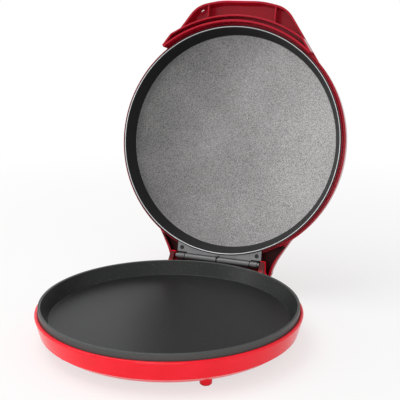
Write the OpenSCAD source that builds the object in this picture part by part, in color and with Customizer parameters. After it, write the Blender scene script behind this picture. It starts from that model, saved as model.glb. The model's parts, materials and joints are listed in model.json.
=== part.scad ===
// Electric pizza maker, shown open: a round base with a dark pan, and a domed lid on a steel hinge.
// Millimetres. +Z is up, -Y is the front, and the origin is on the table under the pan's centre.

/* [Overall] */
// How far the lid is swung open from shut, in degrees
open_angle = 102.6; // [92:0.2:106]
// Gap between the two rims when the lid is shut
plate_gap = 1; // [0.6:0.1:1.6]
// General running gap between pieces that lie side by side
gap = 0.3; // [0.2:0.05:0.4]

/* [Cooking plates] */
// Outer radius of the pan's rim
plate_r = 155; // [148:0.5:162]
// Width of the flat lip on top of the pan's rim
lip_w = 2.9; // [2.6:0.1:3.6]
// How far the upper plate's rim lies inside the pan's rim
lid_rim_in = 0.8; // [0.4:0.1:1]
// Thickness of the upper plate's lip
lip_t = 2.3; // [2:0.1:2.6]
// How far each plate's sloping wall comes in from the lip to the floor
wall_run = 8.6; // [7:0.1:12]
// Depth of each plate below its rim
plate_depth = 17.5; // [14:0.5:20]
// Thickness of the plates' sloping walls
plate_wall = 1.8; // [1.4:0.1:2.1]
// Thickness of the pan's floor
pan_floor_t = 3.4; // [2.6:0.1:3.8]
// Thickness of the upper plate's floor
lid_floor_t = 2.2; // [1.8:0.1:3]
// Height of the pan's outer skirt
skirt_h = 10.8; // [9.5:0.1:12]
// Thickness of the pan's outer skirt
skirt_t = 2.6; // [2.2:0.1:2.8]
// Depth of the fine ring groove in each lip
lip_groove = 0.4; // [0.2:0.1:0.6]

/* [Base housing] */
// How far the band's upper edge stands out past the pan's rim
base_margin = 4.8; // [4:0.1:8]
// How much the band narrows towards its lower edge
band_taper = 6; // [4:0.2:9]
// How far the flat underside starts inside the band's lower edge
tuck_in = 9.8; // [7:0.2:14]
// How far the pan's rim stands above the shoulder
rim_stand = 7.2; // [6.5:0.1:8]
// Height of the outer band
band_h = 22.3; // [20:0.1:25]
// Height of the underside above the table
underside_h = 11; // [9:0.5:14]
// Wall of the base housing
base_wall = 2.8; // [2.4:0.1:3.2]
// Height left for leads between the housing's floor and the reflector
lead_room = 4.5; // [4.2:0.1:7]
// How far the front feet stand inside the edge of the underside
front_foot_in = 13.5; // [11:0.5:20]
// Angle of the front feet from the front, in degrees
front_foot_angle = 40.8; // [36:0.2:48]
// Distance of the rear feet in front of the hinge axis
rear_foot_in = 12.2; // [11:0.2:15]
// Radius of a foot at the table
foot_r = 6.8; // [5.5:0.1:7.2]
// Radius of a foot where it leaves the underside
foot_top_r = 7.6; // [7.3:0.1:8.4]

/* [Hinge] */
// Distance of the hinge axis behind the pan's rim
hinge_back = 7.2; // [6.8:0.1:8.5]
// Radius of the hinge knuckles
knuckle_r = 5; // [4.7:0.1:5.2]
// Radius of the hinge pin
pin_r = 2.6; // [2.2:0.1:2.9]
// Radial clearance between the pin and its knuckles
pin_clearance = 0.05; // [0.03:0.01:0.08]
// Thickness of the hinge leaves
leaf_t = 1.9; // [1.5:0.1:2]
// Half-length of the row of knuckles
knuckle_end = 57; // [50:0.5:60]
// Length of each short outer knuckle
outer_knuckle = 9.8; // [8:0.2:12]
// Gap between neighbouring knuckles
knuckle_gap = 1.2; // [0.8:0.1:1.6]
// Gap in the middle of the row
middle_gap = 2.6; // [1.6:0.2:4]
// How far the lid's leaf reaches past the knuckles at each end
leaf_past = 3; // [2:0.2:3.6]
// Distance of the lid leaf's screws from the leaf's ends
leaf_screw_in = 6.2; // [5.6:0.2:8]
// Distance of the lid leaf's screws in front of the hinge axis
leaf_screw_back = 12; // [11.4:0.2:13]
// Height of the base's leaf below the axis
base_leaf_drop = 26; // [22:1:28]
// Distance of the base leaf's outer screws from its middle
base_screw_pitch = 40; // [34:1:46]

/* [Hinge tower] */
// Gap between the lid's leaf and each cheek of the tower
cheek_gap = 1.4; // [1:0.1:1.8]
// Thickness of the tower's cheeks
cheek_t = 6; // [5:0.2:6.4]
// How far the cheeks rise above the axis
cheek_rise = 6.5; // [5:0.5:7.5]

/* [Lid housing] */
// How far the lid's side stands out past the pan's rim
lid_margin = 3.2; // [2.8:0.1:4.2]
// How far the lid's shoulder lies behind the plate's rim
lid_shoulder = 8.5; // [8:0.1:10]
// Free height between the upper reflector and the crown of the lid
crown_room = 17.5; // [15:0.5:24]
// How far below the crown the side of the lid turns in
side_drop = 18; // [16:0.5:20]
// Wall of the lid housing
lid_wall = 2.4; // [2:0.1:2.6]
// How far the neck's thin lip stands out past the pan's rim
neck_out = 2; // [1.6:0.1:2.2]
// Thickness of the neck's thin lip
neck_lip_t = 0.9; // [0.8:0.1:1.1]
// Distance of the neck's thin lip behind the plate's rim
neck_low = 4.6; // [4:0.2:5.4]

/* [Handle and visor] */
// How far the handle reaches past the lid's side
handle_out = 30; // [24:0.5:36]
// How far the handle's front edge bows out past its corners
handle_bow = 7.5; // [6:0.25:9]
// Half the length of the straight middle of the front edge
handle_flat = 30; // [24:1:36]
// How far the flanks of the handle run inside the lid's side
flank_in = 2; // [1.4:0.1:3]
// Direction that each flank faces, in degrees from the front
flank_angle = 55; // [52:0.5:58]
// Height of the handle's lower edge over the plate's rim
handle_low = 8; // [7:0.5:9]
// Height of the handle's top at its front edge
handle_top = 27; // [24:0.5:30]
// Wall of the handle
handle_wall = 2.6; // [2.2:0.1:3]
// Draft of the handle's sides, per millimetre of height
draft = 0.13; // [0.1:0.01:0.14]
// Rise of the handle's top towards the lid, per millimetre
top_slope = 0.05; // [0.03:0.01:0.07]
// Distance of each rib in the handle from the middle
rib_x = 47.5; // [40:0.5:50]
// Half the angle that the visor spans, in degrees
visor_angle = 40.3; // [36:0.5:42]
// Gap between the shut visor and the shoulder of the base
visor_gap = 0.6; // [0.4:0.1:1.4]
// Thickness of the visor's inner wall
visor_inner_t = 2.7; // [2.2:0.1:3]
// Width of the groove between the visor's walls
groove_w = 4.4; // [4:0.1:5.4]
// Thickness of the visor's outer wall
visor_outer_t = 2.2; // [2:0.1:3]
// Height of the groove's roof
groove_roof = 12; // [10:0.5:14]

/* [Rear hood] */
// Height of the hood's lower edge over the plate's rim
hood_low = 13; // [12:0.5:14]
// How far the hood reaches past the lid's side
hood_out = 22.8; // [22:0.2:25]
// Gap between the hood's sides and the hinge tower
hood_gap = 1.2; // [0.8:0.1:1.6]
// Wall of the hood
hood_wall = 3.4; // [2.8:0.1:3.6]

/* [Heating] */
// How far the heaters' rings lie inside the edge of the plates' floors
heater_in = 43.5; // [38:0.5:50]
// Half the angle left open between the heater's ends, in degrees
heater_gap = 14; // [10:1:18]
// Length of the heaters' straight ends
heater_leg = 38; // [32:1:44]
// Radius of the heater tube
heater_r = 3.25; // [3:0.05:3.6]
// Thickness of the heaters' straps
strap_t = 0.9; // [0.7:0.1:1.2]
// How far the reflectors end inside the edge of the plates' floors
reflector_in = 11.5; // [9:0.5:15]
// Thickness of the reflector sheet
reflector_t = 0.8; // [0.6:0.1:1]
// Distance of the fixing posts outside the heaters' rings
post_out = 18; // [14:0.5:20]
// Radius of a fixing post
post_r = 5.5; // [5:0.1:6]

/* [Supply] */
// Direction of the cord bush round the base, in degrees
gland_angle = 122; // [118:1:126]
// Height of the cord bush above the underside
gland_up = 11; // [10:0.5:12]
// Radius of the bush's bore
gland_bore_r = 3.6; // [3:0.1:4]
// Radius of the bush's barrel
gland_r = 6.4; // [5.6:0.1:7]
// Distance of the terminal block outside the heater's ring
block_out = 13; // [11:0.5:15]
// Length of the terminal block
block_l = 42; // [36:1:48]
// Width of the terminal block
block_w = 14; // [12:0.5:15]
// Height of the terminal block
block_t = 5; // [4:0.2:6]
// Distance of the block's screws from its middle
terminal_pitch = 16; // [13:0.5:17]
// Radius of an internal lead
lead_r = 1.2; // [1:0.1:1.4]

/* [Lamps] */
// Distance of the lamp lenses inside the lid's side
lamp_in = 24.2; // [22:0.5:30]
// Half the distance between the lenses
lamp_x = 9; // [8:0.5:12]
// Radius of a lamp lens
lens_r = 4; // [3:0.25:4.5]

/* [Hidden] */

fine = 180;
smooth = 48;
small = 28;
tiny = 0.01;

// Radii and heights in the base, stacked up from the table
floor_r = plate_r - lip_w - wall_run;
base_r = plate_r + base_margin;
base_low_r = base_r - band_taper;
tuck_r = base_low_r - tuck_in;
inside_z = underside_h + base_wall;
reflector_gap = 2 * heater_r + strap_t + 2 * gap;
base_sheet_z = inside_z + lead_room;
pan_back_z = base_sheet_z + reflector_t + reflector_gap;
rim_height = pan_back_z + pan_floor_t + plate_depth;
shoulder_z = rim_height - rim_stand;
band_z = shoulder_z - band_h;
ledge_z = rim_height - skirt_h - 0.2;
ledge_t = 2.6;
ledge_in = 4.4;
seat_r = plate_r + 0.4;
heater_z = pan_back_z - heater_r - 0.1;

// Heights in the lid, for the lid shut
hinge_y = plate_r + hinge_back;
lid_z = rim_height + plate_gap;
axis_z = rim_height + plate_gap / 2;
plate_back = plate_depth + lid_floor_t;
lid_sheet = plate_back + reflector_gap;
lid_heater = plate_back + heater_r + 0.1;
crown_h = lid_sheet + reflector_t + crown_room;
side_h = crown_h - side_drop;

// Radii of the lid's neck, side and visor
lid_r = plate_r + lid_margin;
neck_r = plate_r + neck_out;
visor_r = lid_r - 0.2;
visor_drop = rim_stand + plate_gap - visor_gap;
groove_in_r = visor_r + visor_inner_t;
groove_out_r = groove_in_r + groove_w;
visor_out_r = groove_out_r + visor_outer_t;
crown_start = lid_r - 48.2;
crown_drop = 5.2;

// Places in the handle
flank_r = lid_r - flank_in;
handle_reach = lid_r + handle_out;
corner_y = handle_reach - handle_bow;
corner_x = (flank_r - corner_y * cos(flank_angle)) / sin(flank_angle);

// Places of the hinge leaves and the tower
leaf_half = knuckle_end + leaf_past;
leaf_low = axis_z - lid_z + knuckle_r - leaf_t;
leaf_arc_r = plate_r - 1.6;
leaf_screw_x = leaf_half - leaf_screw_in;
leaf_screw_y = hinge_y - leaf_screw_back;
web_back_y = hinge_y + knuckle_r - leaf_t;
web_top_z = axis_z - knuckle_r - 0.6;
cheek_in = leaf_half + cheek_gap;
tower_half = cheek_in + cheek_t;
base_screw_z = axis_z - 17;

// The hood, and the stop: its lower edge, swung open, rests against two ribs on the tower's back
hood_reach = lid_r + hood_out;
hood_half = tower_half + hood_gap + hood_wall;
stop_gap = 0.35;
stop_edge = [hood_reach - hood_wall - hinge_y, hood_low + lid_z - axis_z - stop_gap];
stop_up = [-cos(open_angle), sin(open_angle)];
stop_at = [hinge_y + stop_edge.x * cos(open_angle) + stop_edge.y * sin(open_angle),
    axis_z - stop_edge.x * sin(open_angle) + stop_edge.y * cos(open_angle)];
stop_low = stop_at - 5 * stop_up;
stop_high = stop_at + 4 * stop_up;

// Places of feet, heaters, posts and supply parts
front_foot_r = tuck_r - front_foot_in;
rear_foot_x = tower_half - 11.4;
rear_foot_y = hinge_y - rear_foot_in;
heater_ring_r = floor_r - heater_in;
heater_leg_in = heater_ring_r - heater_leg;
pin_l = 9;
reflector_r = floor_r - reflector_in;
reflector_lip = 5;
post_ring_r = heater_ring_r + post_out;
clip_ring_r = heater_ring_r - 9;
clip_angles = [35, 155, 275];
post_angles = [90, 210, 330];
gland_h = underside_h + gland_up;
gland_seat_in = 4;
gland_face = 6.4;
gland_in_r = base_low_r - gland_seat_in - 1.5;
block_r = heater_ring_r + block_out;
block_stand = 1.2;
lead_z = inside_z + block_stand + block_t / 2;
lead_low = base_sheet_z - lead_r - 2 * gap;
lamp_y = lid_r - lamp_in;

// Screw sizes
screw_r = 1.9;
screw_head_r = 3.9;
screw_head_t = 2.2;
screw_hole = screw_r + 0.15;
head_seat = underside_h + 3.2;
leaf_head_r = 2.8;
leaf_head_t = 1.1;
lid_screw_l = lid_shoulder + lid_wall - leaf_low - 0.7;
base_screw_l = base_wall + leaf_t + 1.3;

// Geometry helpers
function unit(v) = v / norm(v);
function wrap(a) = ((a + 540) % 360) - 180;
function turn(u, v) = u.x * v.y - u.y * v.x;
function polar(r, a) = [r * sin(a), -r * cos(a)];

// Points of one rounded corner at b, between its neighbours a and c
function corner(a, b, c, r, n) =
    r <= 0 ? [b] :
    let (u = unit(a - b), v = unit(c - b),
         half = acos(u * v) / 2,
         o = b + unit(u + v) * r / sin(half),
         p = b + u * r / tan(half),
         q = b + v * r / tan(half),
         a0 = atan2(p.y - o.y, p.x - o.x),
         sweep = wrap(atan2(q.y - o.y, q.x - o.x) - a0))
    [for (i = [0:n]) o + r * [cos(a0 + sweep * i / n), sin(a0 + sweep * i / n)]];

// An outline given as corners [x, y, radius], with every corner rounded
function rounded(c, n = 6) =
    let (m = len(c))
    [for (i = [0:m - 1])
        let (a = c[(i + m - 1) % m], b = c[i], d = c[(i + 1) % m])
        each corner([a.x, a.y], [b.x, b.y], [d.x, d.y], b.z, n)];

// The same corners moved inwards by d, for an outline that runs anticlockwise
function inset(c, d) =
    let (m = len(c))
    [for (i = [0:m - 1])
        let (a = c[(i + m - 1) % m], b = c[i], e = c[(i + 1) % m],
             u = unit([a.x - b.x, a.y - b.y]), v = unit([e.x - b.x, e.y - b.y]),
             s = turn(v, u), half = acos(u * v) / 2,
             p = abs(s) < 0.001 ? [-v.y, v.x] * d : unit(u + v) * d / sin(half) * sign(s))
        [b.x + p.x, b.y + p.y, max(b.z - d * sign(s), 0.3)]];

// Right half of an outline, given from front to back, and its mirror image
function mirrored(half) =
    concat(half, [for (i = [len(half) - 1:-1:0]) [-half[i].x, half[i].y, half[i].z]]);

// A closed solid through outlines of equal point count, each with its own height
module loft(rings) {
    n = len(rings[0]);
    m = len(rings);
    points = [for (ring = rings) each ring];
    sides = [for (k = [0:m - 2]) for (i = [0:n - 1])
        let (a = k * n + i, b = k * n + (i + 1) % n)
        each [[a, b + n, b], [a, a + n, b + n]]];
    bottom = [for (i = [0:n - 1]) i];
    top = [for (i = [n - 1:-1:0]) (m - 1) * n + i];
    polyhedron(points = points, faces = concat(sides, [bottom, top]), convexity = 6);
}

// A round tube of radius r swept along a path of points
module swept(path, r, sides = 8) {
    n = len(path);
    rings = [for (i = [0:n - 1])
        let (t = unit(path[min(i + 1, n - 1)] - path[max(i - 1, 0)]),
             ref = abs(t.z) > 0.9 ? [1, 0, 0] : [0, 0, 1],
             s = unit(cross(t, ref)), w = cross(s, t))
        [for (k = [0:sides - 1])
            let (a = 360 * k / sides) path[i] + r * (s * cos(a) + w * sin(a))]];
    points = [for (ring = rings) each ring];
    walls = [for (i = [0:n - 2]) for (k = [0:sides - 1])
        let (a = i * sides + k, b = i * sides + (k + 1) % sides)
        each [[a, b, b + sides], [a, b + sides, a + sides]]];
    first = [for (k = [sides - 1:-1:0]) k];
    last = [for (k = [0:sides - 1]) (n - 1) * sides + k];
    polyhedron(points = points, faces = concat(walls, [first, last]), convexity = 6);
}

// A smooth path through hand-set points
function spline(p, per = 5) =
    let (n = len(p))
    [for (i = [0:n - 2]) for (k = [0:per - (i < n - 2 ? 1 : 0)])
        let (t = k / per, a = p[max(i - 1, 0)], b = p[i], c = p[i + 1], d = p[min(i + 2, n - 1)])
        0.5 * ((2 * b) + (c - a) * t + (2 * a - 5 * b + 4 * c - d) * t * t
            + (3 * b - a - 3 * c + d) * t * t * t)];

// Places a piece drawn on the shut lid into the open lid
module opened() {
    translate([0, hinge_y, axis_z]) rotate([-open_angle, 0, 0]) translate([0, -hinge_y, -axis_z])
        children();
}

module ring_at(radius, angles) {
    for (a = angles) rotate([0, 0, a]) translate([radius, 0, 0]) children();
}

// A straight screw with a pan head, its head's underside at z = 0 and its shank pointing up
module screw(length, head_r = screw_head_r, head_t = screw_head_t) {
    cylinder(r = screw_r, h = length, $fn = smooth);
    difference() {
        translate([0, 0, -head_t])
            rotate_extrude($fn = smooth)
                polygon(rounded([
                    [0, 0, 0],
                    [head_r, 0, head_t * 0.55],
                    [head_r, head_t, 0.2],
                    [0, head_t, 0]], 4));
        for (a = [0, 90]) rotate([0, 0, a])
            translate([-head_r * 0.6, -0.5, -head_t - tiny]) cube([head_r * 1.2, 1, 1]);
    }
}

// Cross-section of a cooking plate, from its rim at height 0 downwards
lip_in_r = plate_r - lip_w;
lid_rim_r = plate_r - lid_rim_in;
wall_len = norm([wall_run, plate_depth]);
wall_side = plate_wall * plate_depth / wall_len;
wall_down = plate_wall * wall_run / wall_len;
slope_run = wall_run / plate_depth;
function wall_back_r(depth) = lip_in_r + wall_side - (depth - wall_down) * slope_run;
neck_in_r = wall_back_r(lip_t) + gap;

// The lip's top with its ring groove, and the inside of the plate, for a rim of outer radius r
function lip_top(r) =
    let (m = (r + lip_in_r) / 2)
    [[r, 0, 0.5],
     [m + 0.35, 0, 0],
     [m + 0.2, -lip_groove, 0],
     [m - 0.2, -lip_groove, 0],
     [m - 0.35, 0, 0],
     [lip_in_r, 0, 0.4],
     [floor_r, -plate_depth, 1.6],
     [0, -plate_depth, 0]];
function pan_section() = rounded(concat([
    [0, -plate_depth - pan_floor_t, 0],
    [wall_back_r(plate_depth + pan_floor_t), -plate_depth - pan_floor_t, 2],
    [plate_r - skirt_t, (plate_r - skirt_t - lip_in_r - wall_side) / slope_run - wall_down, 0],
    [plate_r - skirt_t, -skirt_h, 0.4],
    [plate_r, -skirt_h, 0.4]], lip_top(plate_r)), 5);
function lid_plate_section() = rounded(concat([
    [0, -plate_back, 0],
    [wall_back_r(plate_back), -plate_back, 2],
    [wall_back_r(lip_t), -lip_t, 0.4],
    [lid_rim_r, -lip_t, 0.4]], lip_top(lid_rim_r)), 5);

// Base pieces

module base_shell() {
    rotate_extrude($fn = fine) polygon(rounded([
        [0, underside_h, 0],
        [tuck_r, underside_h, 5],
        [base_low_r, band_z, 1.6],
        [base_r, shoulder_z, 1.8],
        [seat_r, shoulder_z - 0.4, 0.7],
        [seat_r, ledge_z, 0],
        [seat_r - ledge_in, ledge_z, 0.4],
        [seat_r - ledge_in, ledge_z - ledge_t, 0.4],
        [base_r - base_wall - 1.8, ledge_z - ledge_t, 0.6],
        [base_low_r - base_wall + 0.2, band_z + 1.4, 1.5],
        [tuck_r - 1, inside_z, 4],
        [0, inside_z, 0]], 5));
}

module tower() {
    // The block behind the band, and its two sloping cheeks
    difference() {
        translate([0, 0, underside_h + 1]) linear_extrude(web_top_z - underside_h - 1)
            polygon(rounded([
                [-tower_half, plate_r - 23, 0],
                [tower_half, plate_r - 23, 0],
                [tower_half, web_back_y, 4],
                [-tower_half, web_back_y, 4]], 6));
        cylinder(r = base_low_r - 4, h = rim_height, $fn = fine);
    }
    for (side = [-1, 1])
        translate([side * (tower_half - cheek_t / 2) - cheek_t / 2, 0, 0])
            rotate([90, 0, 90]) linear_extrude(cheek_t) polygon(rounded([
                [hinge_y - 16.2, underside_h + 4, 0],
                [web_back_y, underside_h + 4, 0],
                [stop_low.x, stop_low.y, 1.2],
                [stop_high.x, stop_high.y, 1.5],
                [web_back_y + 1, stop_high.y + 4, 3],
                [web_back_y + 1, axis_z - 2, 2],
                [hinge_y + 3.5, axis_z + cheek_rise, 2.5],
                [hinge_y - 2, axis_z + cheek_rise, 4],
                [hinge_y - 16.2, shoulder_z - 2, 0]], 5));
}

module tower_hollow() {
    // The space inside the tower, open to the inside of the base
    start = plate_r - 29;
    translate([-cheek_in, start, inside_z])
        cube([2 * cheek_in, web_back_y - base_wall - start, ledge_z - ledge_t - inside_z - 1]);
}

module foot_places() {
    for (a = [-90 - front_foot_angle, -90 + front_foot_angle])
        rotate([0, 0, a]) translate([front_foot_r, 0, 0]) children();
    for (side = [-1, 1]) translate([side * rear_foot_x, rear_foot_y, 0]) children();
}

module gland_place() {
    rotate([0, 0, gland_angle]) translate([base_low_r, 0, gland_h]) rotate([0, 90, 0]) children();
}

// Places of the base leaf's screws, each with +Z running into the tower
module base_screw_places() {
    for (i = [-1:1]) translate([i * base_screw_pitch, web_back_y, base_screw_z])
        rotate([90, 0, 0]) children();
}

module base_housing() {
    color("crimson") difference() {
        union() {
            base_shell();
            difference() {
                tower();
                // The tower stays clear of the pan's skirt and its ledge
                translate([0, 0, ledge_z]) cylinder(r = seat_r, h = 60, $fn = fine);
            }
            foot_places() translate([0, 0, 0.8]) rotate_extrude($fn = smooth) polygon(rounded([
                [0, 0, 0],
                [foot_r, 0, 0.8],
                [foot_top_r, underside_h + 1, 0],
                [0, underside_h + 1, 0]], 4));
            // Posts that carry the pan and its reflector
            ring_at(post_ring_r, post_angles) translate([0, 0, underside_h])
                cylinder(r = post_r, h = base_sheet_z - underside_h, $fn = smooth);
            // Two short posts for the terminal block
            terminal_place() for (s = [-1, 1]) translate([s * terminal_pitch, 0, inside_z - tiny])
                cylinder(r = 3, h = block_stand, $fn = small);
            // A flat boss for the cord bush
            gland_place() translate([0, 0, -gland_seat_in])
                cylinder(r = gland_r + 4, h = gland_face + gland_seat_in, $fn = smooth);
        }
        tower_hollow();
        // Screw holes through the posts, with deep seats for the heads
        ring_at(post_ring_r, post_angles) {
            cylinder(r = screw_hole, h = base_sheet_z + 1, $fn = small);
            cylinder(r = screw_head_r + gap, h = head_seat, $fn = smooth);
        }
        foot_places() translate([0, 0, -tiny]) cylinder(r = foot_r - 1.2, h = 2.2, $fn = smooth);
        // The bore for the cord bush
        gland_place() translate([0, 0, -gland_seat_in - 8])
            cylinder(r = gland_r + 0.1, h = 40, $fn = smooth);
        // Blind holes for the hinge leaf's screws
        base_screw_places() translate([0, 0, -1])
            cylinder(r = screw_hole, h = base_screw_l, $fn = small);
        // Air slots in the underside
        for (a = [30, 150, 270]) rotate([0, 0, a]) for (k = [-2:2])
            translate([heater_ring_r - 38, k * 9 - 1.5, underside_h - 1]) cube([34, 3, base_wall + 2]);
    }
}

module base_plate() {
    color([0.2, 0.2, 0.19]) difference() {
        union() {
            translate([0, 0, rim_height]) rotate_extrude($fn = fine) polygon(pan_section());
            ring_at(post_ring_r, post_angles) translate([0, 0, base_sheet_z + reflector_t])
                cylinder(r = post_r, h = pan_back_z - base_sheet_z - reflector_t + 1, $fn = smooth);
            ring_at(clip_ring_r, clip_angles) translate([0, 0, pan_back_z - clip_post_h])
                cylinder(r = 4, h = clip_post_h + 1, $fn = smooth);
        }
        ring_at(post_ring_r, post_angles)
            cylinder(r = screw_hole, h = pan_back_z - 0.4, $fn = small);
    }
}

clip_post_h = 4.2;

// A tubular heater, as an open ring with its two ends bent inwards
module heater(z) {
    translate([0, 0, z]) {
        rotate([0, 0, 90 + heater_gap]) rotate_extrude(angle = 360 - 2 * heater_gap, $fn = fine)
            translate([heater_ring_r, 0]) circle(r = heater_r, $fn = smooth);
        for (s = [-1, 1]) rotate([0, 0, 90 + s * heater_gap]) {
            translate([heater_leg_in, 0, 0]) rotate([0, 90, 0]) {
                cylinder(r = heater_r, h = heater_leg, $fn = smooth);
                translate([0, 0, -pin_l]) cylinder(r = 1.6, h = pin_l + 0.5, $fn = small);
            }
            translate([heater_ring_r, 0, 0]) sphere(r = heater_r, $fn = smooth);
        }
    }
}

// A strap over the heater tube, with its fixing tab on the inner side
module heater_strap() {
    clear = heater_r + 0.15;
    seat = heater_r + 0.1;
    reach = heater_ring_r - clip_ring_r + 5;
    rotate([90, 0, 0]) translate([0, 0, -4]) linear_extrude(8) difference() {
        union() {
            circle(r = clear + strap_t, $fn = smooth);
            translate([-clear - strap_t, 0]) square([2 * (clear + strap_t), seat]);
            translate([-reach, seat - clip_post_h - strap_t]) square([reach - clear, strap_t]);
        }
        circle(r = clear, $fn = smooth);
        translate([-clear, 0]) square([2 * clear, clear + 2]);
    }
}

module base_element() {
    color([0.35, 0.34, 0.33]) heater(heater_z);
}

module base_element_clips() {
    color("silver") ring_at(heater_ring_r, clip_angles) translate([0, 0, heater_z]) heater_strap();
}

// A dished sheet reflector with holes for the posts and the heater's ends
module reflector(z) {
    translate([0, 0, z]) difference() {
        rotate_extrude($fn = fine) polygon([
            [0, 0],
            [reflector_r, 0],
            [reflector_r + reflector_lip, reflector_lip],
            [reflector_r + reflector_lip - reflector_t, reflector_lip],
            [reflector_r - reflector_t * 0.4, reflector_t],
            [0, reflector_t]]);
        ring_at(post_ring_r, post_angles) translate([0, 0, -1])
            cylinder(r = screw_hole, h = 3, $fn = small);
        for (s = [-1, 1]) rotate([0, 0, 90 + s * heater_gap])
            translate([heater_leg_in - pin_l - 4, -4, -1]) cube([pin_l + 9, 8, 3]);
        children();
    }
}

module base_reflector() {
    // It is cut away over the terminal block
    color("gainsboro") reflector(base_sheet_z)
        rotate([0, 0, gland_angle]) translate([block_r - block_w / 2 - 6, -block_l / 2 - 4, -2])
            cube([60, block_l + 8, 12]);
}

module plate_screws() {
    color("silver") ring_at(post_ring_r, post_angles) translate([0, 0, head_seat])
        screw(pan_back_z - head_seat - 0.8);
}

thermostat_at = [-34, 16];
fuse_at = [30, 24];

module thermostat() {
    color("tan") translate([thermostat_at.x, thermostat_at.y, 0]) {
        translate([0, 0, pan_back_z - 3]) cylinder(r = 8.4, h = 3, $fn = smooth);
        translate([0, 0, pan_back_z - 6.4]) cylinder(r = 7.4, h = 3.4, $fn = smooth);
        for (s = [-1, 1]) translate([s * 5 - 2, -12, pan_back_z - 6.2]) cube([4, 24, 0.8]);
    }
}

module thermal_fuse() {
    color("goldenrod") translate([fuse_at.x, fuse_at.y, pan_back_z - 2.3]) rotate([0, 90, 0]) {
        translate([0, 0, -8]) cylinder(r = 2.2, h = 16, $fn = smooth);
        translate([0, 0, -15]) cylinder(r = 0.7, h = 30, $fn = small);
    }
    // Its strap on the pan's back
    color("silver") translate([fuse_at.x, fuse_at.y, 0]) difference() {
        translate([-2.5, -7, pan_back_z - 5.4]) cube([5, 14, 5.4]);
        translate([-3, -2.4, pan_back_z - 4.6]) cube([6, 4.8, 5]);
        for (s = [-1, 1]) translate([-3, s * 7 - 3, pan_back_z - 6]) cube([6, 6, 5]);
    }
}

module terminal_place() {
    rotate([0, 0, gland_angle]) translate([block_r, 0, 0]) rotate([0, 0, 90]) children();
}

module terminal_block() {
    color("ivory") terminal_place() difference() {
        translate([-block_l / 2, -block_w / 2, inside_z + block_stand]) cube([block_l, block_w, block_t]);
        for (s = [-1, 1]) translate([s * terminal_pitch, 0, inside_z])
            cylinder(r = 1.6, h = block_t + 10, $fn = small);
    }
}

// Leads clipped under the reflector, from the bush to the block and on to the heater
module supply_leads() {
    face = block_r + block_w / 2 + 2 * gap;
    color("brown") rotate([0, 0, gland_angle]) for (s = [-1, 1])
        swept(spline([
            [gland_in_r - 0.8, s * 1.6, gland_h],
            [gland_in_r - 5.5, s * 2.4, gland_h - 0.8],
            [face + 13, s * 4, lead_z + 0.4],
            [face + 6, s * 6, lead_z],
            [face, s * 6, lead_z]], 4), lead_r);
}

module element_leads() {
    side = [sin(gland_angle), -cos(gland_angle)];
    away = [cos(gland_angle), sin(gland_angle)];
    color("white") for (s = [-1, 1]) {
        a = 90 - s * heater_gap;
        end = [cos(a), sin(a)] * (heater_leg_in - pin_l / 2);
        block = away * (block_r - block_w / 2 - 2 * gap) + side * s * 6;
        near = block - away * 8;
        middle = (near + end) / 2 + [0, s * 2];
        swept(spline([
            [block.x, block.y, lead_z],
            [near.x, near.y, lead_low],
            [middle.x, middle.y, lead_low],
            [end.x, end.y + 4, lead_low],
            [end.x, end.y, lead_low + 2],
            [end.x, end.y, heater_z - 1.6 - 2 * gap]], 4), lead_r);
    }
}

module cord_gland() {
    color([0.12, 0.12, 0.12]) gland_place() difference() {
        translate([0, 0, gland_in_r - base_low_r]) rotate_extrude($fn = smooth) polygon(rounded([
            [0, 0, 0],
            [gland_r, 0, 0.6],
            [gland_r, gland_seat_in + gland_face + 1.6, 0],
            [gland_r + 2.6, gland_seat_in + gland_face + 1.6, 0.3],
            [gland_r + 2.6, gland_seat_in + gland_face + 3.9, 1.2],
            [0, gland_seat_in + gland_face + 3.9, 0]], 4));
        translate([0, 0, -40]) cylinder(r = gland_bore_r, h = 80, $fn = smooth);
    }
}

module foot_pads() {
    color([0.1, 0.1, 0.1]) foot_places() cylinder(r = foot_r - 1.3, h = 2, $fn = smooth);
}

// Hinge pieces

knuckle_start = knuckle_end - outer_knuckle;

module knuckle(x0, x1) {
    translate([x0, hinge_y, axis_z]) rotate([0, 90, 0])
        cylinder(r = knuckle_r, h = x1 - x0, $fn = smooth);
}

module pin_bore() {
    translate([-knuckle_end - 10, hinge_y, axis_z]) rotate([0, 90, 0])
        cylinder(r = pin_r + pin_clearance, h = 2 * knuckle_end + 20, $fn = smooth);
}

module base_hinge_leaf() {
    color("dimgray") difference() {
        union() {
            for (s = [-1, 1]) {
                knuckle(s > 0 ? knuckle_start : -knuckle_end, s > 0 ? knuckle_end : -knuckle_start);
                translate([s > 0 ? knuckle_start : -knuckle_end, web_back_y + 0.05, axis_z - 12])
                    cube([outer_knuckle, leaf_t - 0.05, 12]);
            }
            translate([-knuckle_end, web_back_y + 0.05, axis_z - base_leaf_drop])
                cube([2 * knuckle_end, leaf_t - 0.05, base_leaf_drop - knuckle_r - 3]);
        }
        pin_bore();
        base_screw_places() translate([0, 0, -10]) cylinder(r = screw_hole, h = 20, $fn = small);
    }
}

module base_leaf_screws() {
    color("silver") base_screw_places() translate([0, 0, -leaf_t])
        screw(base_screw_l, leaf_head_r + 0.8, leaf_head_t + 0.3);
}

module hinge_pin() {
    color("lightgray") translate([0, hinge_y, axis_z]) rotate([0, 90, 0]) {
        translate([0, 0, -knuckle_end - 0.4]) cylinder(r = pin_r, h = 2 * knuckle_end + 0.8, $fn = smooth);
        for (s = [-1, 1]) translate([0, 0, s > 0 ? knuckle_end + 0.4 : -knuckle_end - 2.8])
            cylinder(r = knuckle_r - 0.9, h = 2.4, $fn = smooth);
    }
}

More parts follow.
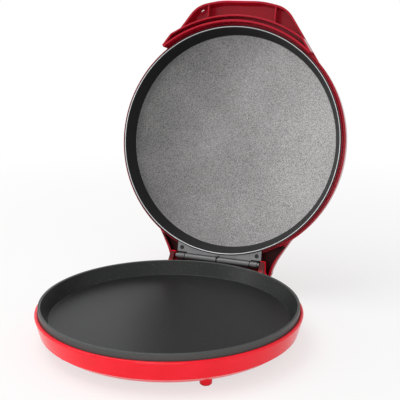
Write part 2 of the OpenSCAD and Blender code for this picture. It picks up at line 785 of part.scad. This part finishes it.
module lid_hinge_leaf() {
    color("gray") opened() difference() {
        union() {
            for (s = [-1, 1])
                knuckle(s > 0 ? middle_gap / 2 : -knuckle_start + knuckle_gap,
                        s > 0 ? knuckle_start - knuckle_gap : -middle_gap / 2);
            // The flat leaf, hollowed to the curve of the plate
            translate([0, 0, lid_z + leaf_low]) linear_extrude(leaf_t) difference() {
                union() {
                    translate([-leaf_half, leaf_in_y])
                        square([2 * leaf_half, hinge_y - knuckle_r - 1.2 - leaf_in_y]);
                    for (s = [-1, 1])
                        translate([s > 0 ? middle_gap / 2 : -knuckle_start + knuckle_gap, leaf_in_y])
                            square([knuckle_start - knuckle_gap - middle_gap / 2, hinge_y - leaf_in_y]);
                }
                circle(r = leaf_arc_r, $fn = fine);
            }
        }
        pin_bore();
        leaf_screw_places() cylinder(r = screw_hole, h = 12, $fn = small);
    }
}

leaf_in_y = plate_r - 17;

module leaf_screw_places() {
    for (s = [-1, 1]) translate([s * leaf_screw_x, leaf_screw_y, lid_z]) children();
}

module lid_leaf_screws() {
    color([0.15, 0.15, 0.15]) opened() leaf_screw_places() translate([0, 0, leaf_low])
        screw(lid_screw_l, leaf_head_r, leaf_head_t);
}

// Lid pieces, drawn on the shut lid

function crown(r, top) = top - crown_drop * r * r / (crown_start * crown_start);
function crown_points(top) =
    [for (i = [0:5]) let (r = crown_start * (1 - i / 5)) [r, crown(r, top), 0]];

module lid_outer() {
    rotate_extrude($fn = fine) polygon(rounded(concat([
        [0, lip_t + 0.2, 0],
        [plate_r - 0.1, lip_t + 0.2, 0.3],
        [plate_r - 0.1, lid_shoulder, 0],
        [neck_r - neck_lip_t, lid_shoulder, 0],
        [neck_r - neck_lip_t, neck_low, 0.3],
        [neck_r, neck_low, 0.3],
        [neck_r, lid_shoulder, 0],
        [lid_r, lid_shoulder, 1.2],
        [lid_r - 1.8, side_h, 9],
        [lid_r - 20, side_h + 8.6, 36]],
        crown_points(crown_h)), 6));
}

module lid_inner() {
    rotate_extrude($fn = fine) polygon(rounded(concat([
        [0, 1, 0],
        [neck_in_r, 1, 0],
        [neck_in_r, lid_shoulder + lid_wall, 0],
        [lid_r - lid_wall - 0.2, lid_shoulder + lid_wall, 0.5],
        [lid_r - lid_wall - 1.9, side_h - 1.4, 7],
        [lid_r - 21, side_h + 6.2, 33]],
        crown_points(crown_h - lid_wall)), 6));
}

// The handle's outline: straight flanks that run out of the lid's side, and a bowed front edge
flank_end = flank_angle - acos(flank_r / lid_r) + 0.9;
flank_out = polar(flank_r / cos(flank_angle - flank_end), flank_end);
flank_root = polar(lid_r - 18, flank_end - 4);
handle_corners = mirrored([
    [flank_root.x, flank_root.y, 0],
    [flank_out.x, flank_out.y, 0],
    [corner_x, -corner_y, 38],
    [handle_flat, -handle_reach, 110]]);
// Anticlockwise order, for insets
handle_loop = [for (i = [len(handle_corners) - 1:-1:0]) handle_corners[i]];

// The sides of the handle, each as the direction that it faces and its distance from the centre
bow_angle = atan(handle_bow / (corner_x - handle_flat));
bow_r = handle_reach * cos(bow_angle) + handle_flat * sin(bow_angle);
handle_sides = [
    [-flank_angle, flank_r], [-bow_angle, bow_r], [0, handle_reach],
    [bow_angle, bow_r], [flank_angle, flank_r]];

visor_tip = polar(flank_r / cos(flank_angle - visor_angle), visor_angle);
visor_root = polar(visor_r - 18, visor_angle);
visor_corners = mirrored([
    [visor_root.x, visor_root.y, 0],
    [visor_tip.x, visor_tip.y, 0.8],
    [corner_x, -corner_y, 13]]);
visor_loop = [for (i = [len(visor_corners) - 1:-1:0]) visor_corners[i]];

hood_corners = mirrored([
    [hood_half, hood_reach, 9],
    [hood_half + 1.5, hood_reach - 13, 22],
    [hood_half + 6.5, hood_reach - 26, 60],
    [hood_half + 16, hood_reach - 43, 60],
    [hood_half + 27, hood_reach - 61, 0]]);
hood_loop = [for (i = [len(hood_corners) - 1:-1:0]) hood_corners[i]];

// One level of a lofted block: the outline drawn in by d, at height z, rising towards the middle
function level(loop, d, z, slope, reach) =
    [for (p = rounded(inset(loop, d), 6)) [p.x, p.y, z + slope * (reach - abs(p.y))]];

// A block on an outline, with sides that lean in from its lower edge and a rounded top
module block(loop, low, top, reach, lean) {
    rise = top - low;
    difference() {
        loft([
            level(loop, -8 * lean, low - 8, 0, reach),
            level(loop, (rise - 7) * lean + 0.2, top - 7, top_slope * 0.6, reach),
            level(loop, (rise - 4) * lean + 0.9, top - 4, top_slope * 0.8, reach),
            level(loop, (rise - 1.6) * lean + 2.6, top - 1.6, top_slope, reach),
            level(loop, rise * lean + 6, top, top_slope, reach)]);
        translate([-250, -300, low - 60]) cube([500, 600, 60]);
    }
}

// The inside of a hollow block: straight walls, and a flat roof that rises towards the lid
module hollow(loop, wall, low, top, reach, side, keep_r) {
    rise = top_slope / 2;
    intersection() {
        translate([0, 0, low]) linear_extrude(top + 30 - low) difference() {
            polygon(rounded(inset(loop, wall), 6));
            circle(r = keep_r, $fn = fine);
        }
        rotate([90, 0, 90]) translate([0, 0, -150]) linear_extrude(300) polygon([
            [side * (reach + 9), low - 5],
            [side * (reach + 9), top - rise * 9],
            [side * (reach - 100), top + rise * 100],
            [side * (reach - 100), low - 5]]);
    }
}

// The space outside one side of the handle, with that side moved in by d
module past_side(side, d) {
    rotate([0, 0, side[0]]) translate([0, d - side[1], handle_low])
        rotate([-atan(draft), 0, 0]) translate([-150, -80, -60]) cube([300, 80, 160]);
}

module handle_hollow() {
    difference() {
        hollow(handle_loop, handle_wall, handle_low - 12, handle_top - 3.6, handle_reach, -1,
            visor_out_r - 0.2);
        for (side = handle_sides) past_side(side, handle_wall);
        for (s = [-1, 1]) translate([s * rib_x - 1, -handle_reach - 5, handle_low + 1.5])
            cube([2, 60, 40]);
    }
}

module visor() {
    visor_top = handle_top - 7;
    // Two arc walls with a groove between them, closed at both ends
    difference() {
        union() {
            intersection() {
                rotate_extrude($fn = fine) polygon(rounded([
                    [visor_r, -visor_drop, 0.5],
                    [groove_in_r, -visor_drop, 0.5],
                    [groove_in_r, groove_roof, 0],
                    [groove_out_r, groove_roof, 0],
                    [groove_out_r, -visor_drop, 0.5],
                    [visor_out_r, -visor_drop, 0.5],
                    [visor_out_r, visor_top, 0],
                    [lid_r - 2, visor_top, 0],
                    [lid_r - 2, lid_shoulder, 0],
                    [visor_r, lid_shoulder, 0]], 3));
                translate([0, 0, -20]) linear_extrude(60) polygon(rounded(visor_loop, 6));
            }
            intersection() {
                translate([0, 0, -visor_drop]) linear_extrude(visor_top + visor_drop) difference() {
                    polygon(rounded(visor_loop, 6));
                    polygon(rounded(inset(visor_loop, visor_outer_t), 6));
                }
                rotate_extrude($fn = fine) translate([visor_r, -10])
                    square([visor_out_r - visor_r, 40]);
            }
        }
        for (side = [handle_sides[0], handle_sides[4]]) past_side(side, 0.2);
    }
}

module hood_hollow() {
    hollow(hood_loop, hood_wall, hood_low - 12, handle_top - 5.4, hood_reach, 1, lid_r - 0.5);
}

// Bosses that the hinge leaf is screwed to, standing up from the leaf
module leaf_bosses(r, h) {
    for (s = [-1, 1]) translate([s * leaf_screw_x, leaf_screw_y, leaf_low + leaf_t])
        cylinder(r = r, h = h, $fn = smooth);
}

module lid_housing() {
    color([0.62, 0.05, 0.12]) opened() translate([0, 0, lid_z]) difference() {
        union() {
            lid_outer();
            difference() {
                block(handle_loop, handle_low, handle_top, handle_reach, draft);
                translate([0, 0, -40])
                    cylinder(r = groove_out_r + 0.7, h = 40.7 + groove_roof, $fn = fine);
            }
            visor();
            difference() {
                block(hood_loop, hood_low, handle_top, hood_reach, 0);
                hood_hollow();
            }
            leaf_bosses(5.5, lid_shoulder + lid_wall - leaf_low - leaf_t);
        }
        handle_hollow();
        difference() {
            lid_inner();
            // What stays inside the lid: bosses for the leaf's screws, and posts for the lamp board
            leaf_bosses(4.2, lid_screw_l + 1.4);
            lamp_posts();
        }
        // The neck is cut away where the hinge leaf passes
        difference() {
            translate([-leaf_half - 1, plate_r - 35, -1])
                cube([2 * leaf_half + 2, 60, lid_shoulder + 1 - tiny]);
            translate([0, 0, -5]) cylinder(r = neck_in_r - 3, h = 60, $fn = fine);
            leaf_bosses(5.5, 20);
        }
        for (s = [-1, 1]) translate([s * leaf_screw_x, leaf_screw_y, 0])
            cylinder(r = screw_hole, h = leaf_low + lid_screw_l + 1.4, $fn = small);
        for (s = [-1, 1]) translate([s * lamp_x, -lamp_y, 10])
            cylinder(r = lens_r + 0.1, h = crown_h, $fn = smooth);
    }
}

module lid_plate() {
    color([0.45, 0.44, 0.43]) opened() translate([0, 0, lid_z]) mirror([0, 0, 1]) difference() {
        union() {
            rotate_extrude($fn = fine) polygon(lid_plate_section());
            ring_at(clip_ring_r, clip_angles) translate([0, 0, -plate_back - clip_post_h])
                cylinder(r = 4, h = clip_post_h + 1, $fn = smooth);
            ring_at(post_ring_r, post_angles) translate([0, 0, -lid_sheet])
                cylinder(r = post_r, h = reflector_gap + 1, $fn = smooth);
        }
        ring_at(post_ring_r, post_angles) translate([0, 0, -lid_sheet - 1])
            cylinder(r = screw_hole, h = reflector_gap, $fn = small);
    }
}

module lid_element() {
    color([0.35, 0.34, 0.33]) opened() translate([0, 0, lid_z]) heater(lid_heater);
}

module lid_element_clips() {
    color("silver") opened() translate([0, 0, lid_z]) ring_at(heater_ring_r, clip_angles)
        translate([0, 0, lid_heater]) mirror([0, 0, 1]) heater_strap();
}

module lid_reflector() {
    color("gainsboro") opened() translate([0, 0, lid_z + lid_sheet + reflector_t])
        mirror([0, 0, 1]) reflector(0);
}

// Spring clips behind the plate, which snap over the inside of the lid's shoulder
module lid_plate_clips() {
    clip_z = lid_shoulder + lid_wall;
    back_r = wall_back_r(plate_depth);
    end_r = lid_r - lid_wall - 0.8;
    color("silver") opened() translate([0, 0, lid_z]) ring_at(0, [20, 160, 250, 290])
        translate([0, 5, 0]) rotate([90, 0, 0]) linear_extrude(10) polygon([
            [back_r - 12, plate_back],
            [back_r, plate_back],
            [back_r + 4, clip_z + 3],
            [end_r, clip_z + 0.2],
            [end_r, clip_z + 1.4],
            [back_r + 4.6, clip_z + 4.4],
            [back_r + 0.6, plate_back + 1],
            [back_r - 12, plate_back + 1]]);
}

module reflector_screws() {
    color("silver") opened() ring_at(post_ring_r, post_angles)
        translate([0, 0, lid_z + lid_sheet + reflector_t]) mirror([0, 0, 1])
            screw(reflector_gap - 1.4);
}

// Lamps

board_z = lid_sheet + reflector_t + 1.5;
board_t = 1.6;
board_half = lamp_x + 16;
board_w = 14;
board_in = 4;
lens_base = board_z + 4.4;
lens_top = crown(lamp_y, crown_h) + 1;

module lamp_posts() {
    for (s = [-1, 1]) translate([s * (lamp_x + 12), -lamp_y + 6, board_z + board_t])
        cylinder(r = 3, h = crown_room, $fn = small);
}

module lens(side) {
    opened() translate([side * lamp_x, -lamp_y, lid_z + lens_base]) rotate_extrude($fn = smooth)
        polygon(rounded([
            [0, 0, 0],
            [lens_r, 0, 0],
            [lens_r, lens_top - lens_base, 1.4],
            [0, lens_top - lens_base, 0]], 5));
}

module power_lens() {
    color([0.9, 0.1, 0.1]) lens(-1);
}

module ready_lens() {
    color([0.1, 0.7, 0.25]) lens(1);
}

module lamp_board() {
    color("darkgreen") opened() translate([-board_half, -lamp_y - board_in, lid_z + board_z])
        cube([2 * board_half, board_w, board_t]);
}

module lamps() {
    color("lightyellow") opened() for (s = [-1, 1])
        translate([s * lamp_x, -lamp_y, lid_z + board_z + board_t])
            cylinder(r = 2, h = lens_base - board_z - board_t - 0.2, $fn = small);
}

// Leads from the board over the reflector to the ends of the heater
module lamp_leads() {
    end_r = heater_leg_in - pin_l / 2;
    end = [end_r * sin(heater_gap), end_r * cos(heater_gap)];
    over = lid_sheet + reflector_t + lead_r + 2 * gap;
    edge = -lamp_y + board_w - board_in;
    color("white") opened() translate([0, 0, lid_z]) for (s = [-1, 1])
        swept(spline([
            [s * 3, edge + gap, board_z + 1.2],
            [s * 3, edge + 8, board_z + 1.6],
            [s * 4, -heater_leg_in, over],
            [s * 5, 0, over],
            [s * end.x * 0.8, end.y - 16, over],
            [s * end.x, end.y - 1, lid_sheet + 0.6],
            [s * end.x, end.y, lid_heater + 1.6 + 2 * gap]],
            4), lead_r);
}

base_housing();
base_plate();
base_element();
base_element_clips();
base_reflector();
plate_screws();
thermostat();
thermal_fuse();
terminal_block();
supply_leads();
element_leads();
cord_gland();
foot_pads();
base_hinge_leaf();
base_leaf_screws();
hinge_pin();
lid_housing();
lid_plate();
lid_element();
lid_element_clips();
lid_reflector();
lid_plate_clips();
reflector_screws();
lid_hinge_leaf();
lid_leaf_screws();
power_lens();
ready_lens();
lamp_board();
lamps();
lamp_leads();
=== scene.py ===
import json
import math

import bpy
from mathutils import Matrix, Vector

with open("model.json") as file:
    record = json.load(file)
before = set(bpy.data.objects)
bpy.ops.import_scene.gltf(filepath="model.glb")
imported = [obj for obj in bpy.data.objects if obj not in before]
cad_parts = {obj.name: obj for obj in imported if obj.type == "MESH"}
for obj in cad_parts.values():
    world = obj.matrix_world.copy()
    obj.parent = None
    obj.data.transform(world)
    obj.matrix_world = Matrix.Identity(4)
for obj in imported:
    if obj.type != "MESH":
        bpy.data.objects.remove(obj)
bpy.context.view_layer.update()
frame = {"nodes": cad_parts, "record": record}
nodes = frame["nodes"]
scene = bpy.context.scene

UPRIGHT = (0.0, 0.0, 1.0)
SIDEWAYS = (1.0, 0.0, 0.0)

# Places on the object, in metres. The pan lies level round the Z axis. The lid leans back by LEAN
# from shut, where its rim lies LID_OVER_AXIS over the hinge's axis
HINGE = Vector((0.0, 0.1622, 0.0485))
KNUCKLE_R = 0.005
LEAN = math.radians(102.6)
LID_OVER_AXIS = 0.0005
# Radii of both plates: the floor's edge, and the inside and outside of the lip
FLOOR_R = 0.1435
LIP_IN = 0.1521
LIP_OUT = 0.1542
BARE_LIP_R = (LIP_IN + LIP_OUT) / 2 - 0.0003
# The faces of the hinge tower that show between the pan and the lid, which get painted shade
TOWER_FRONT = 0.1535
TOWER_BACK = 0.161
TOWER_LOW = 0.022
TOWER_HALF = 0.0685
# The hollow of the hood: its open edge below the hinge, half its width there, how it widens, and
# which stretches along the lid and behind its rim get painted shade
HOOD_EDGE = 0.0188
HOOD_HALF = 0.0688
HOOD_SPREAD = 9.8
HOOD_BELOW = (-0.028, 0.0156)
HOOD_BACK = (0.0075, 0.0255)
# At rest the lid's plate faces LID_FACE, LID_UP leads from the hinge to the handle, and LID_CENTRE
# is the middle of the lid's rim
LID_FACE = Vector((0.0, -math.sin(LEAN), -math.cos(LEAN)))
LID_UP = Vector((0.0, -math.cos(LEAN), math.sin(LEAN)))
LID_CENTRE = HINGE + LID_UP * HINGE.y - LID_FACE * LID_OVER_AXIS


# Node graphs written as expressions

def set_or_link(tree, slot, value):
    if isinstance(value, Wire):
        tree.links.new(value.socket, slot)
    elif isinstance(value, tuple) and slot.type == "RGBA" and len(value) == 3:
        slot.default_value = (*value, 1.0)
    else:
        slot.default_value = value


class Wire:
    """One output socket. Python's operators add Math nodes that work on it."""

    def __init__(self, tree, socket):
        self.tree, self.socket = tree, socket

    def math(self, operation, *values):
        node = self.tree.nodes.new("ShaderNodeMath")
        node.operation = operation
        for slot, value in zip(node.inputs, values):
            set_or_link(self.tree, slot, value)
        return Wire(self.tree, node.outputs[0])

    def __add__(self, other):
        return self.math("ADD", self, other)

    __radd__ = __add__

    def __sub__(self, other):
        return self.math("SUBTRACT", self, other)

    def __rsub__(self, other):
        return self.math("SUBTRACT", other, self)

    def __mul__(self, other):
        return self.math("MULTIPLY", self, other)

    __rmul__ = __mul__

    def __gt__(self, other):
        return self.math("GREATER_THAN", self, other)

    def __lt__(self, other):
        return self.math("LESS_THAN", self, other)

    def __abs__(self):
        return self.math("ABSOLUTE", self)

    def larger(self, other):
        return self.math("MAXIMUM", self, other)

    def within(self, limits):
        """1 between the two limits, and 0 outside them."""
        return (self > limits[0]) * (self < limits[1])

    def ramp(self, low, high):
        """0 below low, 1 above high, and smooth between."""
        node = self.tree.nodes.new("ShaderNodeMapRange")
        node.interpolation_type = "SMOOTHSTEP"
        self.tree.links.new(self.socket, node.inputs["Value"])
        node.inputs["From Min"].default_value = low
        node.inputs["From Max"].default_value = high
        return Wire(self.tree, node.outputs[0])


class Finish:
    """One procedural material, with its shader and its texture coordinates."""

    def __init__(self, name, **constants):
        self.material = bpy.data.materials.new(name)
        self.material.use_nodes = True
        self.tree = self.material.node_tree
        self.shader = self.tree.nodes["Principled BSDF"]
        for key, value in constants.items():
            self.shader.inputs[key.replace("_", " ")].default_value = value
        self.place = self.node("ShaderNodeTexCoord", output="Object")

    def node(self, kind, settings=(), output=0, **inputs):
        """Adds a node: its settings come first, then the values or links of its sockets.

        A socket is named by its label, or by an underscore and its number.
        """
        node = self.tree.nodes.new(kind)
        for key, value in dict(settings).items():
            setattr(node, key, value)
        for key, value in inputs.items():
            label = int(key[1:]) if key[0] == "_" else key.replace("_", " ")
            set_or_link(self.tree, node.inputs[label], value)
        return Wire(self.tree, node.outputs[output])

    def noise(self, scale, detail=2.0, roughness=0.5, place=None):
        return self.node("ShaderNodeTexNoise", Vector=place or self.place, Scale=scale,
                         Detail=detail, Roughness=roughness)

    def vector(self, operation, *values, output=0):
        inputs = {"_%d" % i: value for i, value in enumerate(values)}
        return self.node("ShaderNodeVectorMath", {"operation": operation}, output, **inputs)

    def axis(self, name):
        return self.node("ShaderNodeSeparateXYZ", output=name, Vector=self.place)

    def from_axis(self, centre, direction):
        """Distance from a line through centre, such as the axis of a round plate."""
        arm = self.vector("SUBTRACT", self.place, tuple(centre))
        along = self.vector("DOT_PRODUCT", arm, tuple(direction), output="Value")
        foot = self.node("ShaderNodeVectorMath", {"operation": "SCALE"}, _0=tuple(direction),
                         Scale=along)
        return self.vector("LENGTH", self.vector("SUBTRACT", arm, foot), output="Value")

    def mix(self, factor, low, high):
        """A colour between two colours."""
        return self.node("ShaderNodeMix", {"data_type": "RGBA"}, 2, _0=factor, _6=low, _7=high)

    def bump(self, height, distance):
        normal = self.node("ShaderNodeBump", Height=height, Distance=distance, Strength=1.0)
        self.feed(Normal=normal)

    def feed(self, **links):
        for key, wire in links.items():
            self.tree.links.new(wire.socket, self.shader.inputs[key.replace("_", " ")])


def toned(colour, tone):
    """The colour, darker or lighter by a factor."""
    return tuple(min(1.0, c * tone) for c in colour)


def moulded(name, colour, dark, shade, shade_tone=0.1, roughness=0.2):
    """Glossy moulded plastic: even colour, a faint flow mottle and a very fine orange peel.

    Where shade is 1, the colour is painted darker by shade_tone as painted shade, and the plastic
    is rougher and has no coat.
    """
    finish = Finish(name, Coat_Roughness=0.08, IOR=1.5, Specular_IOR_Level=0.16)
    mottle = finish.noise(26.0, 3.0)
    # Painted shade: where the mask is 1 the colour is darkened to stand in for shadow
    shaded = shade(finish)
    even = finish.mix(shaded, finish.mix(mottle.ramp(0.3, 0.8), colour, dark),
                      toned(dark, shade_tone))
    finish.feed(Base_Color=even, Coat_Weight=(1.0 - shaded) * 0.12,
                Roughness=finish.noise(140.0, 2.0) * 0.08 + shaded * 0.25 + (roughness - 0.04))
    finish.bump(finish.noise(650.0, 1.0), 0.00003)
    return finish.material


def tower_painted_shade(finish):
    """Where the front of the hinge tower at the back of the base gets painted shade, as if shaded
    by the lid.
    """
    depth = finish.axis("Y")
    front = depth.ramp(TOWER_FRONT - 0.006, TOWER_FRONT) * (depth < TOWER_BACK)
    return front * (finish.axis("Z") > TOWER_LOW) * (abs(finish.axis("X")) < TOWER_HALF)


def hood_painted_shade(finish):
    """Where the inside of the hood behind the hinge gets painted shade, standing in for its deep
    shadow.
    """
    arm = finish.vector("SUBTRACT", finish.place, tuple(HINGE))
    below = finish.vector("DOT_PRODUCT", arm, tuple(-LID_UP), output="Value")
    back = finish.vector("DOT_PRODUCT", arm, tuple(-LID_FACE), output="Value")
    inset = HOOD_EDGE - below
    edge = inset * inset * HOOD_SPREAD + HOOD_HALF
    inside = abs(finish.axis("X")) < edge
    return inside * below.within(HOOD_BELOW) * back.within(HOOD_BACK)


def pan_coating(name):
    """Dark non-stick coating, satin and finely speckled, lighter on the outer skirt."""
    finish = Finish(name, IOR=1.45, Specular_IOR_Level=0.3)
    radius = finish.from_axis((0.0, 0.0, 0.0), UPRIGHT)
    grain = finish.noise(1100.0, 2.0, 0.7)
    fleck = finish.noise(520.0, 1.0).ramp(0.66, 0.74)
    floor = finish.mix(grain.ramp(0.3, 0.7), (0.008, 0.0084, 0.0088), (0.015, 0.0154, 0.0158))
    rim = finish.mix(grain.ramp(0.3, 0.7), (0.055, 0.060, 0.058), (0.082, 0.087, 0.084))
    colour = finish.mix(radius.ramp(LIP_IN - 0.0006, LIP_IN), floor, rim)
    finish.feed(Base_Color=finish.mix(fleck * 0.35, colour, (0.12, 0.12, 0.12)),
                Roughness=grain * 0.12 + 0.32)
    finish.bump(grain, 0.00004)
    return finish.material


def lid_coating(name):
    """The upper plate: a grey speckled disc, a dark sloping wall and a bare turned lip."""
    finish = Finish(name, IOR=1.5, Specular_IOR_Level=0.25)
    radius = finish.from_axis(LID_CENTRE, LID_FACE)
    sand = finish.noise(1100.0, 2.0, 0.7)
    cloud = finish.noise(14.0, 2.0)
    # Painted light: the disc is painted paler to the right and lower down, as if lit from there,
    # with a cloudy random tone mixed in
    height = finish.axis("Z") - LID_CENTRE.z
    painted_light_and_cloud = (finish.axis("X") * 2.6 - height * 0.8 + cloud * 0.4 + 0.26).ramp(0.0, 1.0)
    grey = sand.ramp(0.36, 0.64)
    disc = finish.mix(painted_light_and_cloud, finish.mix(grey, (0.045, 0.0445, 0.0445), (0.19, 0.187, 0.187)),
                      finish.mix(grey, (0.20, 0.193, 0.193), (0.60, 0.583, 0.583)))
    wall = finish.mix(sand.ramp(0.3, 0.7), (0.006, 0.006, 0.0065), (0.013, 0.013, 0.0135))
    lip = (0.62, 0.62, 0.63)
    on_wall = radius.ramp(FLOOR_R - 0.0006, FLOOR_R + 0.0002)
    # Only the inner half of the lip is bare metal
    on_lip = radius.ramp(LIP_IN - 0.0006, LIP_IN + 0.0001) * (radius < BARE_LIP_R)
    colour = finish.mix(on_lip, finish.mix(on_wall, disc, wall), lip)
    finish.feed(Base_Color=colour,
                Metallic=on_lip * 0.85 + (1.0 - on_wall) * 0.35,
                Roughness=sand * 0.14 + cloud * 0.06 + 0.34 - on_lip * 0.14)
    finish.bump(sand, 0.00006)
    return finish.material


def sheet_metal(name, colour, roughness, metallic=0.9, barrel=1.0):
    """Plated or bare metal with a fine directional brush and slight staining.

    Round the hinge line the colour is multiplied by barrel.
    """
    finish = Finish(name)
    stretched = finish.vector("MULTIPLY", finish.place, (30.0, 900.0, 900.0))
    streak = finish.noise(1.0, 3.0, 0.6, place=stretched)
    stain = finish.noise(60.0, 3.0)
    even = finish.mix(stain.ramp(0.25, 0.8), colour, toned(colour, 0.72))
    if barrel != 1.0:
        rolled = finish.from_axis(HINGE, SIDEWAYS) < KNUCKLE_R + 0.0003
        even = finish.mix(rolled, even, toned(colour, barrel))
    finish.shader.inputs["Metallic"].default_value = metallic
    finish.feed(Base_Color=even,
                Roughness=streak * 0.16 + stain * 0.06 + (roughness - 0.1))
    finish.bump(streak, 0.00002)
    return finish.material


def heat_sheath(name):
    """The heaters' tubes, browned unevenly by heat."""
    finish = Finish(name)
    stain = finish.noise(90.0, 4.0)
    colour = finish.mix(stain.ramp(0.3, 0.7), (0.09, 0.08, 0.075), (0.16, 0.13, 0.11))
    finish.feed(Base_Color=colour, Metallic=stain * 0.3 + 0.5, Roughness=stain * 0.2 + 0.42)
    return finish.material


def plain(name, colour, roughness, variation=0.12, scale=180.0, **constants):
    """Rubber, ceramic, board and lead sleeves: matt or glazed, slightly uneven."""
    finish = Finish(name, **constants)
    patch = finish.noise(scale, 2.0)
    even = finish.mix(patch, toned(colour, 1.0 - variation), toned(colour, 1.0 + variation))
    finish.feed(Base_Color=even, Roughness=patch * 0.1 + (roughness - 0.05))
    finish.bump(patch, 0.00003)
    return finish.material


RED = (0.93, 0.010, 0.026)
RED_DEEP = (0.85, 0.007, 0.019)
# The lid's own crimson, painted darker than the base's red in part as painted shade for the lid's
# underside
CRIMSON_AND_PAINTED_SHADE = (0.40, 0.006, 0.020)
CRIMSON_DEEP_AND_PAINTED_SHADE = (0.35, 0.004, 0.016)

finishes = {
    # The red base gets painted shade on its hinge tower, and the crimson lid inside its hood
    "red_plastic": moulded("red_plastic", RED, RED_DEEP, tower_painted_shade),
    "crimson_plastic": moulded("crimson_plastic", CRIMSON_AND_PAINTED_SHADE, CRIMSON_DEEP_AND_PAINTED_SHADE, hood_painted_shade,
                               roughness=0.18),
    "dark_coating": pan_coating("dark_coating"),
    "grey_coating": lid_coating("grey_coating"),
    "steel_leaf": sheet_metal("steel_leaf", (0.24, 0.24, 0.245), 0.40, barrel=0.45),
    "steel_bright": sheet_metal("steel_bright", (0.56, 0.56, 0.57), 0.26),
    "steel_pin": sheet_metal("steel_pin", (0.12, 0.12, 0.125), 0.34),
    "steel_black": sheet_metal("steel_black", (0.035, 0.035, 0.037), 0.42, metallic=0.5),
    "heater_sheath": heat_sheath("heater_sheath"),
    "reflector_sheet": sheet_metal("reflector_sheet", (0.74, 0.75, 0.76), 0.2),
    "ceramic": plain("ceramic", (0.68, 0.62, 0.5), 0.3),
    "black_rubber": plain("black_rubber", (0.02, 0.02, 0.021), 0.62),
    "lead_sleeve": plain("lead_sleeve", (0.55, 0.52, 0.45), 0.7, 0.2, 900.0),
    "brown_lead": plain("brown_lead", (0.09, 0.035, 0.018), 0.45),
    "red_lens": plain("red_lens", (0.62, 0.02, 0.015), 0.12, Coat_Weight=0.5),
    "green_lens": plain("green_lens", (0.03, 0.36, 0.09), 0.12, Coat_Weight=0.5),
    "lamp_glass": plain("lamp_glass", (0.85, 0.8, 0.68), 0.1),
    "board": plain("board", (0.02, 0.10, 0.035), 0.45),
}

# The pin is darker than the other bright steel
for part in frame["record"]["subparts"]:
    mesh = nodes[part["node"]].data
    mesh.materials.clear()
    slot = "steel_pin" if part["node"] == "hinge_pin" else part["material_slot"]
    mesh.materials.append(finishes[slot])


# Camera, fitted to the photographed view

def aim(position, target, roll=0.0):
    """The placing of a camera or lamp that looks from position at target."""
    forward = (target - position).normalized()
    right = forward.cross(Vector((0, 0, 1))).normalized()
    up = right.cross(forward)
    c, s = math.cos(roll), math.sin(roll)
    placed = Matrix((right * c + up * s, up * c - right * s, -forward)).transposed().to_4x4()
    placed.translation = position
    return placed


camera = bpy.data.cameras.new("camera")
camera.sensor_width = 36.0
camera.lens = 82.32
camera.clip_end = 60.0
camera_object = bpy.data.objects.new("camera", camera)
camera_object.matrix_world = aim(
    Vector((0.4095, -0.9394, 0.4372)), Vector((0.02565, 0.03257, 0.16643)), math.radians(0.29))
scene.collection.objects.link(camera_object)
scene.camera = camera_object


# Floor, world and lights

def shows_background(tree):
    """1 for rays that show the background, directly or in a shiny surface."""
    ray = tree.nodes.new("ShaderNodeLightPath")
    seen, glossy, through = [Wire(tree, ray.outputs[name]) for name in
                             ("Is Camera Ray", "Is Glossy Ray", "Is Transmission Ray")]
    return seen.larger(glossy).larger(through)


def pale_floor():
    """A floor that glows white where the background shows and keeps the object's shadow."""
    finish = Finish("pale_floor", Base_Color=(0.9, 0.9, 0.9, 1.0), Roughness=0.9,
                    Specular_IOR_Level=0.0)
    tree = finish.tree
    glow = tree.nodes.new("ShaderNodeEmission")
    blend = tree.nodes.new("ShaderNodeMixShader")
    # Far from the object the floor is plain white, and near it the floor shows the shadow
    away = finish.from_axis((0.0, 0.1, 0.0), UPRIGHT).ramp(0.35, 1.1)
    share = shows_background(tree) * (away * 0.34 + 0.66)
    tree.links.new(share.socket, blend.inputs[0])
    tree.links.new(finish.shader.outputs[0], blend.inputs[1])
    tree.links.new(glow.outputs[0], blend.inputs[2])
    tree.links.new(blend.outputs[0], tree.nodes["Material Output"].inputs["Surface"])
    return finish.material


floor_mesh = bpy.data.meshes.new("floor")
reach = 20.0
floor_corners = [(x * reach, y * reach, 0) for x, y in ((-1, -1), (1, -1), (1, 1), (-1, 1))]
floor_mesh.from_pydata(floor_corners, [], [(0, 1, 2, 3)])
floor_mesh.materials.append(pale_floor())
floor = bpy.data.objects.new("floor", floor_mesh)
scene.collection.objects.link(floor)

world = bpy.data.worlds.new("studio")
world.use_nodes = True
scene.world = world
tree = world.node_tree
sky = tree.nodes["Background"]
sky.inputs["Color"].default_value = (1.0, 1.0, 1.0, 1.0)
strength = shows_background(tree) * 0.45 + 0.55
tree.links.new(strength.socket, sky.inputs["Strength"])


def softbox(name, position, target, width, height, power):
    lamp = bpy.data.lights.new(name, "AREA")
    lamp.shape = "RECTANGLE"
    lamp.size, lamp.size_y, lamp.energy = width, height, power
    placed = bpy.data.objects.new(name, lamp)
    placed.matrix_world = aim(Vector(position), Vector(target))
    scene.collection.objects.link(placed)


softbox("overhead_softbox", (-0.5, -0.3, 1.9), (0.0, 0.05, 0.1), 1.6, 1.2, 17.0)
softbox("left_softbox", (-1.7, -1.1, 0.9), (0.0, 0.0, 0.1), 0.9, 1.2, 8.0)
softbox("front_softbox", (0.6, -2.1, 0.55), (0.0, 0.1, 0.15), 1.3, 0.7, 11.0)

scene.view_settings.view_transform = "Standard"
